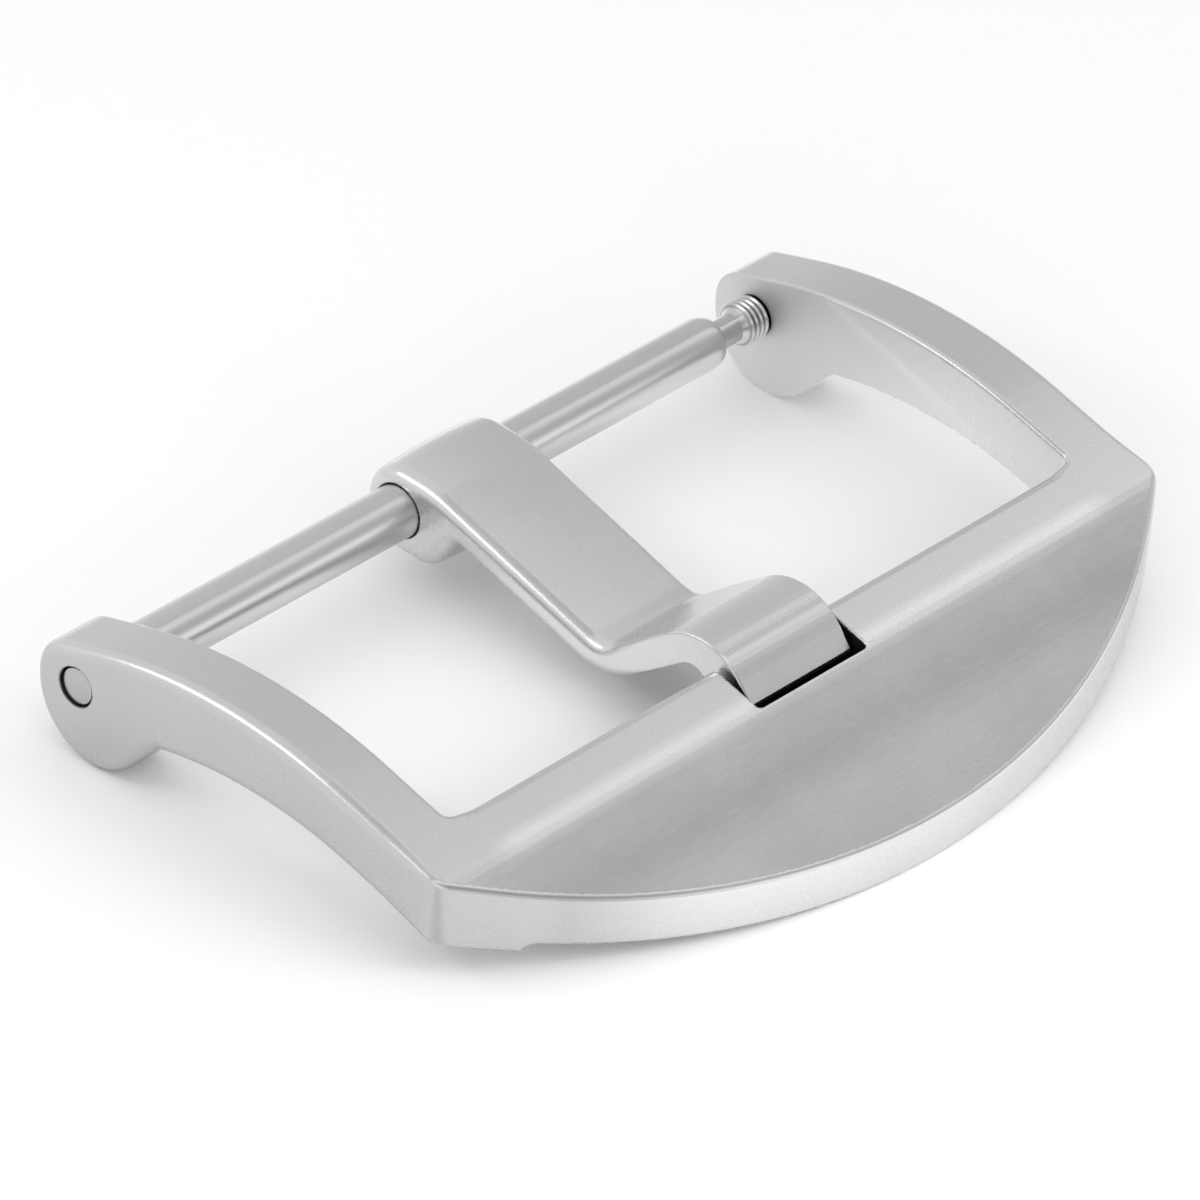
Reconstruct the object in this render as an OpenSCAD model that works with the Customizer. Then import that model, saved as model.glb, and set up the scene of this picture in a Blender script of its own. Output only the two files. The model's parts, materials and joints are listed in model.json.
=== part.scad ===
// Tang buckle for a 24 mm watch strap, millimetres, +Z up.
// X runs along the bar, the curved front edge faces -Y, and the buckle rests on z = 0
// on the lobes of its two ears and on the middle of its front edge.
// Side outlines are drawn from the bar's axis: first number forward, second number up.

/* [Strap opening] */
// Clear width between the arms, which is the strap's width
inner_w = 24; // [16:1:28]
// From the bar's axis forward to the window's front edge
window_len = 11; // [10.5:0.1:12]
// Radius of the window's two front corners
window_corner_r = 0.35; // [0.1:0.05:0.8]

/* [Arms] */
// Thickness of an arm along X
arm_t = 1.9; // [1.5:0.1:2.6]
// Height of the arm's crest over the bar's axis
crest_h = 2.12; // [1.9:0.05:2.6]
// From the bar's axis forward to the crest
crest_fwd = 5.3; // [4.5:0.1:6]
// Radius of the arched top
top_r = 15.7; // [14:0.5:20]
// Fall of the arm behind its crest, in degrees
back_fall = 18; // [14:1:20]
// Fall of the arm towards the front, in degrees
front_fall = 13.5; // [11:0.5:15]
// Height of the arch under the arm over the bar's axis
arch_h = 0.02; // [-0.3:0.02:0.3]
// From the bar's axis forward to the top of the arch
arch_fwd = 6.4; // [6:0.1:7]
// Radius of the arch under the arm
arch_r = 14; // [12:0.5:16]

/* [Ears] */
// From the bar's axis back to the end of the ear
ear_back = 1.42; // [1.3:0.02:1.8]
// Height of the bar's axis over the ear's lowest point
bar_h = 2.15; // [2.05:0.05:2.6]
// Radius of the ear's round back
ear_r = 2.05; // [1.8:0.05:2.05]
// From the bar's axis forward to the ear's lowest point
ear_low_fwd = 0.63; // [0.4:0.02:0.8]
// Radius of the ear's lobe
lobe_r = 1.6; // [1.3:0.05:1.8]
// Rise of the lobe's front side, in degrees
lobe_rise = 49.5; // [44:0.5:54]
// Radius of the ear's top corner
ear_top_r = 0.6; // [0.3:0.05:0.8]
// Radius in the notch between lobe and arch
ear_notch_r = 0.3; // [0.1:0.05:0.5]

/* [Front plate] */
// From the window's edge forward to the middle of the front edge
plate_len = 6.45; // [5.8:0.05:7.5]
// Radius of the curved front edge, seen from above
front_r = 21.9; // [20:0.1:30]
// Radius of the corner between an arm and the front edge
corner_r = 1.2; // [0.5:0.1:2]
// Height of the front edge
plate_t = 1.36; // [1.2:0.01:1.6]
// Fall of the plate towards its front edge, in degrees
plate_fall = 15.3; // [14:0.1:17]
// Length of the flatter part behind the front edge
apron_len = 2.15; // [1.5:0.05:3]
// From the window's edge forward to the line where the plate turns steeper
brow_len = 1.7; // [1.5:0.05:2.2]
// Radius of the plate's turn to the steeper part
brow_r = 7; // [2:0.5:9]

/* [Tongue notch] */
// Width of the notch that takes the tongue's tip
notch_w = 4.2; // [4.15:0.05:5]
// Depth of the notch forward from the window's edge
notch_len = 1.7; // [1.6:0.02:1.9]
// Metal left under the notch
notch_floor = 0.46; // [0.35:0.01:0.6]

/* [Tongue] */
// Width of the tongue
tongue_w = 3.9; // [3.2:0.05:4.05]
// Wall of the eye round the bar
eye_wall = 0.46; // [0.4:0.02:0.6]
// Radius of the eye's round back, below the bar's axis
eye_back_r = 1.15; // [0.9:0.05:1.2]
// From the bar's axis down to the eye's lowest point
eye_low = 1.36; // [1.3:0.02:1.5]
// From the bar's axis forward to the eye's lowest point
eye_low_fwd = 0.75; // [0.5:0.05:0.9]
// Radius of the lobe under the front of the eye
eye_front_r = 0.9; // [0.6:0.05:1]
// Rise of the eye's front side, in degrees
eye_rise = 60; // [50:1:70]
// Thickness of the straight part
blade_t = 1.08; // [0.8:0.02:1.2]
// Fall of the straight part, in degrees
blade_fall = 15.2; // [14:0.1:17]
// Length of the level top over the eye, ahead of the bar
eye_flat = 0.7; // [0.4:0.05:1]
// Radius of the bend where the eye runs into the blade
blade_bend_r = 3.5; // [1.5:0.1:5]
// Radius of the dip's top
dip_r = 0.45; // [0.2:0.05:0.8]
// Rise from the dip to the hump, in degrees
hump_rise = 38.3; // [36:0.5:42]
// Thickness of the hump
hump_t = 0.88; // [0.7:0.02:1]
// From the window's edge back to the middle of the hump
hump_back = 0.32; // [0.2:0.02:0.5]
// Height of the hump's unrounded corner over the tip
hump_h = 1.74; // [1.6:0.02:1.8]
// Radius of the hump's top
hump_r = 1.85; // [1.5:0.05:2]
// Height of the tip's front face
tip_h = 0.8; // [0.7:0.02:0.9]
// Gap between the tip and the front wall of the notch
tip_gap = 0.39; // [0.3:0.01:0.5]

/* [Spring bar] */
// Diameter of the bar's tube
tube_d = 1.5; // [1.4:0.02:1.6]
// Wall of the tube
tube_wall = 0.2; // [0.15:0.01:0.22]
// Clear length between an arm and the end of the tube
tube_end_gap = 1.75; // [1.7:0.05:2]
// Length of the tube's end that is spun in round the pin
spun_len = 0.5; // [0.4:0.05:0.8]
// Diameter of the tube at its very end
spun_d = 1.16; // [1.06:0.02:1.2]
// Diameter of the pin's neck
neck_d = 0.82; // [0.7:0.02:0.84]
// Diameter of the pin's rings
ring_d = 1.26; // [1.2:0.02:1.3]
// Number of rings on a pin
rings = 4; // [2:1:4]
// From one ring to the next
ring_step = 0.18; // [0.14:0.01:0.19]
// Depth of the grooves between the rings
groove_d = 0.08; // [0.04:0.01:0.12]
// Length of the cone between the neck and the rings
cone_len = 0.15; // [0.1:0.01:0.2]
// Diameter of the pin's tip in the arm
tip_d = 0.96; // [0.8:0.02:0.98]
// How far the pin's domed end stays inside the arm's outer face
tip_inset = 0.2; // [0:0.02:0.3]
// Height of the dome on the pin's end
dome_h = 0.16; // [0.08:0.02:0.24]
// Length of the pin's head inside the tube
head_len = 0.9; // [0.6:0.1:1.2]
// Gap between the pin's head and the spun end of the tube
head_play = 0.15; // [0.1:0.01:0.3]
// Diameter of the spring's wire
wire_d = 0.18; // [0.14:0.01:0.2]
// Turns of the spring
spring_turns = 16; // [12:1:20]

/* [Clearances] */
// Radial clearance of the pin's tip in the arm
tip_play = 0.08; // [0.05:0.01:0.1]
// Radial clearance of the tube in the tongue's eye
eye_play = 0.06; // [0.03:0.01:0.1]
// Radial clearance of the neck in the end of the tube
neck_play = 0.04; // [0.03:0.01:0.05]
// Radial clearance of the head and of the spring in the tube
bore_play = 0.05; // [0.03:0.01:0.08]
// Gap where flat faces bear on each other
seat_gap = 0.02; // [0.01:0.01:0.05]

/* [Hidden] */
$fn = 64;
spare = 5;
half_in = inner_w / 2;
half_out = half_in + arm_t;
front_fwd = window_len + plate_len;
bar_y = (front_fwd - ear_back) / 2;
front_axis_fwd = front_fwd - front_r;
arc_cross = 1.2;
seat_lap = 0.12;
tip_corner_r = 0.12;
eye_notch_r = 0.25;
floor_up = notch_floor / cos(plate_fall);
hole_d = tip_d + 2 * tip_play;
eye_bore_d = tube_d + 2 * eye_play;
eye_r = eye_bore_d / 2 + eye_wall;
tube_bore_d = tube_d - 2 * tube_wall;
mouth_d = neck_d + 2 * neck_play;
head_d = tube_bore_d - 2 * bore_play;
tube_half = half_in - tube_end_gap;
head_stop = tube_half - spun_len * (head_d - mouth_d) / (tube_bore_d - mouth_d);
head_out = head_stop - head_play;
head_in = head_out - head_len;
ring_face = half_in - seat_gap;
spring_half = head_in - seat_gap;
coil_r = tube_bore_d / 2 - bore_play - wire_d / 2;

// Height of the plate's underside over the bar's axis, at a distance forward of it
function under_at(f) = (front_fwd - f) * tan(plate_fall) - bar_h;

// Points where the top outline turns: crest of the arm, brow, apron, then far ahead
function top_points() =
    let (mid = [crest_fwd, crest_h - top_r],
         front = mid + top_r * [sin(front_fall), cos(front_fall)],
         back = mid + top_r * [-sin(back_fall), cos(back_fall)],
         crest = meet(back, back_fall, front, -front_fall),
         brow = meet(front, -front_fall, [window_len + brow_len, 0], 90),
         edge = [front_fwd, plate_t - bar_h],
         apron = edge + apron_len * [-1, tan(plate_fall)],
         ahead = edge + spare * [1, -tan(plate_fall)])
    [[crest.x, crest.y, top_r], [brow.x, brow.y, brow_r], [apron.x, apron.y, brow_r], [ahead.x, ahead.y, 0]];

// Where the line from p at angle a meets the line from q at angle b
function meet(p, a, q, b) =
    let (t = ((q.x - p.x) * sin(b) - (q.y - p.y) * cos(b)) / sin(b - a))
    p + t * [cos(a), sin(a)];

// Bend of an outline at a corner: centre, radius, first angle, turn, and the angle at which
// the arc crosses its two lines, as it is a hair larger than one that only touches them.
function bend(prev, at, next) =
    let (p = [at.x, at.y],
         u = unit([prev.x, prev.y] - p),
         v = unit([next.x, next.y] - p),
         half = acos(max(-1, min(1, u * v))) / 2,
         c = p + unit(u + v) * at.z / sin(half),
         from = p + u * at.z / tan(half) - c,
         to = p + v * at.z / tan(half) - c,
         a = atan2(from.y, from.x),
         turn = (atan2(to.y, to.x) - a + 540) % 360 - 180,
         cross = sign(turn) * min(arc_cross, abs(turn) / 4))
    [c, at.z / cos(cross), a + cross, turn - 2 * cross, cross];
function bend_point(b, turn) = b[0] + b[1] * [cos(b[2] + turn), sin(b[2] + turn)];
function unit(v) = v / norm(v);

// A slab from x1 to x2 with a clockwise side outline and true arcs at its corners
module slab(path, x1, x2) {
    n = len(path);
    bends = [for (i = [0:n - 1])
        path[i].z > 0 ? bend(path[(i + n - 1) % n], path[i], path[(i + 1) % n]) : [[0, 0], 0, 0, 0, 0]];
    on_side(x1)
        difference() {
            union() {
                linear_extrude(x2 - x1)
                    polygon([for (p = path) [p.x, p.y]]);
                for (i = [0:n - 1])
                    if (bends[i][3] > 0)
                        linear_extrude(x2 - x1)
                            corner_piece([path[i].x, path[i].y], bends[i]);
            }
            for (i = [0:n - 1])
                if (bends[i][3] < 0)
                    translate([0, 0, -1])
                        linear_extrude(x2 - x1 + 2)
                            corner_piece([path[i].x, path[i].y], bends[i]);
        }
}

// Sliver between a bend's arc and its corner, carried a little past the corner
module corner_piece(at, b) {
    touching = [b[0], b[1] * cos(b[4]), b[2]];
    difference() {
        polygon([
            bend_point(touching, -b[4]),
            at + 0.2 * unit(at - b[0]),
            bend_point(touching, b[3] + b[4]),
            b[0]]);
        translate(b[0])
            circle(r = b[1], $fn = 180);
    }
}

// Places a side outline, drawn forward and up from the bar's axis, at x
module on_side(x)
    translate([x, bar_y, bar_h])
        rotate([90, 0, 90])
            mirror([1, 0, 0])
                children();

// Turns a side outline into a slab from x1 to x2
module side_slab(x1, x2)
    on_side(x1)
        linear_extrude(x2 - x1)
            children();

// A round piece on the bar's axis: outlines have their first number along X
module on_axis()
    translate([0, bar_y, bar_h])
        rotate([0, 90, 0])
            children();

// Corners of an arm's side outline, clockwise from under the front edge: third value the radius
function arm_path() =
    let (top = top_points(),
         ear_top = meet([-ear_back, 0], 90, [top[0].x, top[0].y], back_fall),
         arch_mid = [arch_fwd, arch_h - arch_r],
         arch_front = arch_mid + arch_r * [sin(front_fall), cos(front_fall)],
         arch_back = arch_mid + arch_r * [-sin(front_fall), cos(front_fall)],
         arch = meet(arch_back, front_fall, arch_front, -front_fall),
         arch_end = meet(arch_front, -front_fall, [top[3].x, 0], 90),
         lobe = [ear_low_fwd + lobe_r * tan(lobe_rise / 2), -bar_h],
         notch = meet(lobe, lobe_rise, arch_back, front_fall))
    [[arch_end.x, arch_end.y, 0],
     [arch.x, arch.y, arch_r],
     [notch.x, notch.y, ear_notch_r],
     [lobe.x, lobe.y, lobe_r],
     [-ear_back, -bar_h, ear_r],
     [ear_top.x, ear_top.y, ear_top_r],
     each top];

// What rounding the corners between the arms and the front edge takes away, from above
module corner_waste() {
    corner_x = half_out - corner_r;
    reach = sqrt(pow(front_r - corner_r, 2) - pow(corner_x, 2));
    corner_y = bar_y - front_axis_fwd - reach;
    touch = [corner_x, -reach] * front_r / (front_r - corner_r) + [0, bar_y - front_axis_fwd];
    for (side = [-1, 1])
        difference() {
            polygon([
                [side * half_out, corner_y],
                [side * (half_out + 1), corner_y - corner_r],
                [side * touch.x, touch.y - 1],
                [side * touch.x, touch.y],
                [side * corner_x, corner_y]]);
            translate([side * corner_x, corner_y])
                circle(r = corner_r / cos(arc_cross), $fn = 90);
        }
}

// Window between the arms, open towards the back
module window_outline() {
    edge_y = bar_y - window_len;
    inner_x = half_in - window_corner_r;
    translate([-half_in, edge_y + window_corner_r])
        square([inner_w, window_len + ear_back + spare]);
    translate([-inner_x, edge_y])
        square([2 * inner_x, window_corner_r + spare]);
    for (side = [-1, 1])
        translate([side * inner_x, edge_y + window_corner_r])
            circle(r = window_corner_r, $fn = 32);
}

module frame() {
    color("silver")
    difference() {
        intersection() {
            slab(arm_path(), -half_out, half_out);
            translate([0, bar_y - front_axis_fwd, -spare])
                cylinder(h = bar_h + crest_h + 2 * spare, r = front_r, $fn = 240);
        }
        translate([0, 0, -spare])
            linear_extrude(bar_h + crest_h + 3 * spare)
                corner_waste();
        translate([0, 0, -spare])
            linear_extrude(bar_h + crest_h + 3 * spare)
                window_outline();
        side_slab(-half_in, half_in)
            polygon([
                [window_len - 1, under_at(window_len - 1)],
                [front_fwd + spare, under_at(front_fwd + spare)],
                [front_fwd + spare, -bar_h - 2 * spare],
                [window_len - 1, -bar_h - 2 * spare]]);
        side_slab(-notch_w / 2, notch_w / 2)
            polygon([
                [window_len - 1, under_at(window_len - 1) + floor_up],
                [window_len + notch_len, under_at(window_len + notch_len) + floor_up],
                [window_len + notch_len, spare],
                [window_len - 1, spare]]);
        on_axis()
            cylinder(h = 2 * (half_out + spare), d = hole_d, center = true);
    }
}

// Corners of the tongue's side outline, clockwise from the eye's back: third value the radius
function tongue_path() =
    let (tip_fwd = window_len + notch_len - tip_gap,
         rest_up = floor_up + seat_gap / cos(plate_fall),
         tip_low = [tip_fwd, under_at(tip_fwd) + rest_up],
         tip_top = tip_low + [0, tip_h],
         heel = [window_len + seat_lap, under_at(window_len + seat_lap) + rest_up],
         start = [eye_r * sin(blade_fall) + eye_flat, eye_r],
         hump = [window_len - hump_back, tip_top.y + hump_h],
         dip = meet(start, -blade_fall, hump, hump_rise),
         low_start = start - [0, blade_t / cos(blade_fall)],
         rise_low = dip + hump_t * [sin(hump_rise), -cos(hump_rise)],
         dip_low = meet(low_start, -blade_fall, rise_low, hump_rise),
         arch = meet(dip_low, hump_rise, heel, 135),
         eye_front = [eye_low_fwd + eye_front_r * tan(eye_rise / 2), -eye_low],
         notch = meet(eye_front, eye_rise, low_start, -blade_fall))
    [[-eye_r, 0, 0],
     [-eye_r, eye_r, eye_r],
     [start.x, start.y, blade_bend_r],
     [dip.x, dip.y, dip_r],
     [hump.x, hump.y, hump_r],
     [tip_top.x, tip_top.y, tip_corner_r],
     [tip_low.x, tip_low.y, tip_corner_r / 2],
     [heel.x, heel.y, tip_corner_r],
     [arch.x, arch.y, hump_t * 2 / 3],
     [dip_low.x, dip_low.y, dip_r + hump_t],
     [notch.x, notch.y, eye_notch_r],
     [eye_front.x, eye_front.y, eye_front_r],
     [-eye_r, -eye_low, eye_back_r]];

module tongue() {
    color("gainsboro")
    difference() {
        slab(tongue_path(), -tongue_w / 2, tongue_w / 2);
        on_axis()
            cylinder(h = tongue_w + spare, d = eye_bore_d, center = true);
    }
}

// Tube of the spring bar, spun in round the pins at both ends
module bar_tube() {
    spun_in = tube_half - spun_len;
    color("darkgray")
    on_axis()
        rotate_extrude()
            polygon([
                [tube_d / 2, spun_in],
                [tube_d / 2, -spun_in],
                [spun_d / 2, -tube_half],
                [mouth_d / 2, -tube_half],
                [tube_bore_d / 2, -spun_in],
                [tube_bore_d / 2, spun_in],
                [mouth_d / 2, tube_half],
                [spun_d / 2, tube_half]]);
}

// Coil spring between the two pins, its ends ground flat
module bar_spring() {
    lead = atan(2 * spring_half / spring_turns / (2 * PI * coil_r));
    half_turn = wire_d / 2 / (coil_r * sin(lead)) * 180 / PI;
    color("dimgray")
    on_axis()
        linear_extrude(2 * spring_half, center = true, twist = 360 * spring_turns,
            slices = 10 * spring_turns, $fn = 8)
            polygon([
                for (i = [0:7])
                let (r = coil_r + wire_d / 2 * cos(45 * i), a = half_turn * sin(45 * i))
                r * [cos(a), sin(a)]]);
}

// Pin of the spring bar: head, neck, cone, turned rings and domed tip
module pin() {
    rings_in = ring_face - rings * ring_step;
    tip_end = half_out - tip_inset;
    dome_r = (pow(tip_d / 2, 2) + dome_h * dome_h) / (2 * dome_h);
    dome_turn = asin(tip_d / 2 / dome_r);
    rotate_extrude()
        polygon([
            [0, head_in],
            [head_d / 2, head_in],
            [head_d / 2, head_out],
            [neck_d / 2, head_out],
            [neck_d / 2, rings_in - cone_len],
            for (i = [0:rings - 1])
            each [
                [ring_d / 2 - groove_d, rings_in + ring_step * i],
                [ring_d / 2, rings_in + ring_step * (i + 0.3)],
                [ring_d / 2, rings_in + ring_step * (i + 0.7)]],
            [ring_d / 2 - groove_d, ring_face],
            [tip_d / 2, ring_face],
            for (i = [0:6])
            let (a = dome_turn * (6 - i) / 6)
            [i == 6 ? 0 : dome_r * sin(a), tip_end - dome_r + dome_r * cos(a)]]);
}

module pin_left()
    color("lightgray")
    on_axis()
        mirror([0, 0, 1])
            pin();

module pin_right()
    color("lightgray")
    on_axis()
        pin();

frame();
tongue();
bar_tube();
bar_spring();
pin_left();
pin_right();
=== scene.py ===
"""Watch tang buckle: satin steel frame, humped tongue and sprung strap bar on a pale floor."""

import json
import math

import bpy
import numpy as np
from bpy.props import FloatProperty, FloatVectorProperty, IntProperty, PointerProperty
from bpy.types import Operator, Panel, PropertyGroup
from mathutils import Matrix, Vector


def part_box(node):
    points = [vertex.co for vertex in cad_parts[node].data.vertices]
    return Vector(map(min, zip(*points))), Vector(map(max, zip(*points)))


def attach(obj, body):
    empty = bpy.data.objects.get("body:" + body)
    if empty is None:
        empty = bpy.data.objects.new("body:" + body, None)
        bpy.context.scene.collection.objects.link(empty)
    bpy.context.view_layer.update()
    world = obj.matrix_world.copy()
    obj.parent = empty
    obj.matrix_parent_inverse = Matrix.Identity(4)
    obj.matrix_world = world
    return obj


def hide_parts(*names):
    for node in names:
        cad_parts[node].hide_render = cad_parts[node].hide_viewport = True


bl_info = {
    "name": "Watch Tang Buckle",
    "version": (1, 0, 0),
    "blender": (4, 5, 0),
    "location": "View3D > Sidebar > Buckle",
    "description": "Builds a satin steel watch buckle with its tongue, strap bar and studio",
    "category": "Add Mesh",
}

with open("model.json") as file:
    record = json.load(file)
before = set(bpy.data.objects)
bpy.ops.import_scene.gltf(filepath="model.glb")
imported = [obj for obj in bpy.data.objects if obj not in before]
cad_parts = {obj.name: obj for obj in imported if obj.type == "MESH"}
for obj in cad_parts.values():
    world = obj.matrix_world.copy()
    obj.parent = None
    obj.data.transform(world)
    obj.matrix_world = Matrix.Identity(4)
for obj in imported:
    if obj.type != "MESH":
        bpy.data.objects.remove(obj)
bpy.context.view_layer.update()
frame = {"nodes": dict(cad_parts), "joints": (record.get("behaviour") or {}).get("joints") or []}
MM = 0.001
HINGE = next(j for j in frame["joints"] if j["name"] == "tongue_hinge")["pos_m"]
BAR_Y = HINGE[1] / MM
BAR_Z = HINGE[2] / MM
FRAME_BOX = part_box("frame")
HALF_OUT = FRAME_BOX[1][0] / MM
FRONT = BAR_Y - FRAME_BOX[0][1] / MM
# millimetres: how far outlines run on past the front edge and below, and the room round a piece for its mesh cells
PAST_FRONT = 5
FAR_BELOW = -9
ROOM = 0.2

# brightness of the sky that the steel mirrors, from the back horizon at 0 over the zenith at 0.5 to the front one at 1
SKY_TONES = [
    (0.0, 0.73), (0.17, 0.66), (0.3, 0.63), (0.38, 0.65), (0.43, 0.68), (0.46, 0.36), (0.5, 0.3), (0.52, 0.45),
    (0.55, 1.0), (0.6, 0.95), (0.66, 0.62), (0.8, 0.55), (0.84, 0.75), (0.88, 1.4), (1.0, 1.4),
]
# name, middle and long side's direction, length, width (mm), brightness
LAMPS = (
    ("Edge lamp", (-44, 33, 40), (0, 1, 0), 38, 8, 4.2),
    ("Floor gleam", (-4.5, -18, 12), (1, 0, 0), 13, 8, 4.0),
    ("Long strip", (52, 6, 62), (1, 0, 0), 90, 5, 1.2),
)
# where the camera stands from the bar's middle (m), and its right, up and back
CAMERA_PLACE = (-0.19466, -0.16186, 0.17549)
CAMERA_RIGHT = (0.67153, -0.73563, 0.08894)
CAMERA_UP = (0.37872, 0.44390, 0.81214)
CAMERA_BACK = (-0.63689, -0.51168, 0.57667)


# ---------------------------------------------------------------- sizes and colours


def size(name, text, value, low=0.0, high=50.0):
    """A length in millimetres."""
    return FloatProperty(name=name, description=text, default=value, min=low, max=high, precision=3)


def turn(name, text, degrees):
    """An angle."""
    return FloatProperty(name=name, description=text, default=math.radians(degrees), subtype="ANGLE", unit="ROTATION")


def tint(name, text, value):
    """A colour."""
    return FloatVectorProperty(name=name, description=text, default=value, subtype="COLOR", min=0.0, max=1.0)


def part(name, text, value):
    """A share from 0 to 1."""
    return FloatProperty(name=name, description=text, default=value, min=0.0, max=1.0, subtype="FACTOR")


class BuckleFrameSizes(PropertyGroup):
    """Sizes of the D-fronted frame, in millimetres from the strap bar's axis."""

    half_in: size("Half opening", "Half the clear width between the arms", 12.0)
    window_fwd: size("Window", "From the bar forward to the window's front edge", 11.0)
    window_corner: size("Window corner", "Radius of the window's front corners", 0.25)
    crest_h: size("Crest height", "Height of the arm's crest over the bar", 2.12)
    crest_fwd: size("Crest place", "From the bar forward to the crest", 5.3)
    top_r: size("Top radius", "Radius of the arched top", 15.7)
    back_fall: turn("Back fall", "Fall of the arm behind its crest", 18)
    front_fall: turn("Front fall", "Fall of the arm towards the front", 13.5)
    arch_h: FloatProperty(name="Arch height", description="Height of the arch under the arm", default=0.02)
    arch_fwd: size("Arch place", "From the bar forward to the top of the arch", 6.4)
    arch_r: size("Arch radius", "Radius of the arch under the arm", 14.0)
    ear_back: size("Ear back", "From the bar back to the end of the ear", 1.42)
    ear_r: size("Ear radius", "Radius of the ear's round back", 2.05)
    ear_low_fwd: size("Ear foot", "From the bar forward to the ear's lowest point", 0.63)
    lobe_r: size("Lobe radius", "Radius of the ear's lobe", 1.6)
    lobe_rise: turn("Lobe rise", "Rise of the lobe's front side", 49.5)
    ear_top_r: size("Ear top radius", "Radius of the ear's top corner", 1.0)
    ear_notch_r: size("Ear notch radius", "Radius between lobe and arch", 0.3)
    front_r: size("Front radius", "Radius of the curved front edge, from above", 21.9)
    corner_r: size("Corner radius", "Radius between arm and front edge, from above", 0.8)
    plate_t: size("Plate thickness", "Height of the front edge", 1.36)
    plate_fall: turn("Plate fall", "Fall of the plate towards its front edge", 15.3)
    apron_len: size("Apron", "Length of the flatter part behind the front edge", 2.55)
    apron_fall: turn("Apron fall", "Fall of the flatter part behind the front edge", 17.6)
    apron_r: size("Apron radius", "Radius of the turn to the flatter part", 30.0)
    brow_len: size("Brow", "From the window's edge to the line where the plate turns steeper", 1.7)
    brow_r: size("Brow radius", "Radius of the turn to the steeper part", 7.0)
    notch_half: size("Half notch", "Half the width of the notch for the tongue's tip", 2.1)
    notch_len: size("Notch length", "Depth of the notch from the window's edge", 1.7)
    notch_floor: size("Notch floor", "Metal left under the notch", 0.46)
    notch_corner: size("Notch corner", "Radius of the notch's corners, from above", 0.15)
    hole_r: size("Hole radius", "Radius of the hole in each ear", 0.56)
    outer_edge: size("Outer edge", "Rounding of the arms' outer edges", 0.33)
    front_edge: size("Front edge", "Rounding of the front wall's edges", 0.14)
    inner_edge: size("Inner edge", "Rounding of the arms' inner edges", 0.12)
    rear_edge: size("Rear edge", "Rounding of the plate's edge along the window", 0.35)
    notch_edge: size("Notch edge", "Rounding of the notch's edges", 0.05)
    hole_edge: size("Hole edge", "Rounding of the holes' edges", 0.05)
    foot_blend: size("Foot blend", "Softness of the step from arm to plate underneath", 0.5)
    detail: size("Detail", "Size of a mesh cell", 0.066, 0.03, 0.5)


class BuckleTongueSizes(PropertyGroup):
    """Sizes of the tongue, in millimetres from the strap bar's axis."""

    half_w: size("Half width", "Half the tongue's width", 1.95)
    eye_wall: size("Eye wall", "Wall of the eye round the bar", 0.49)
    eye_bore: size("Eye bore", "Radius of the eye's bore", 0.78)
    eye_back_r: size("Eye back radius", "Radius of the eye's round back, below", 1.15)
    eye_low: size("Eye depth", "From the bar down to the eye's lowest point", 1.36)
    eye_low_fwd: size("Eye foot", "From the bar forward to the eye's lowest point", 0.75)
    eye_front_r: size("Eye front radius", "Radius under the front of the eye", 0.9)
    eye_rise: turn("Eye rise", "Rise of the eye's front side", 60)
    eye_notch_r: size("Eye notch radius", "Radius between the eye and the blade's underside", 0.25)
    blade_t: size("Blade thickness", "Thickness of the straight part", 1.08)
    blade_fall: turn("Blade fall", "Fall of the straight part", 15.2)
    eye_flat: size("Eye flat", "Length of the level top over the eye", 0.7)
    bend_r: size("Bend radius", "Radius where the eye runs into the blade", 3.5)
    dip_r: size("Dip radius", "Radius of the dip's top", 1.0)
    hump_rise: turn("Hump rise", "Rise from the dip to the hump", 38.3)
    hump_t: size("Hump thickness", "Thickness of the hump", 0.88)
    hump_back: size("Hump place", "From the window's edge back to the hump", 0.32)
    hump_h: size("Hump height", "Height of the hump's unrounded corner over the tip", 1.74)
    hump_r: size("Hump radius", "Radius of the hump's top", 1.85)
    tip_h: size("Tip height", "Height of the tip's front face", 0.8)
    tip_r: size("Tip radius", "Radius of the tip's top corner and of its heel", 0.12)
    toe_r: size("Toe radius", "Radius of the tip's lowest corner", 0.06)
    heel_fwd: size("Heel", "From the window's edge forward to the tip's heel", 0.12)
    tip_gap: size("Tip gap", "Gap between the tip and the notch's front wall", 0.39)
    seat_gap: size("Seat gap", "Gap between tip and notch floor", 0.02)
    edge: size("Edge", "Rounding of the tongue's long edges", 0.38)
    crown: size("Crown", "Fall of the blade's faces from the middle to the sides", 0.09)
    tip_edge: size("Tip edge", "Rounding of the edges from the hump to the tip", 0.07)
    bore_edge: size("Bore edge", "Rounding of the bore's edges", 0.04)
    detail: size("Detail", "Size of a mesh cell", 0.05, 0.03, 0.5)


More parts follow.
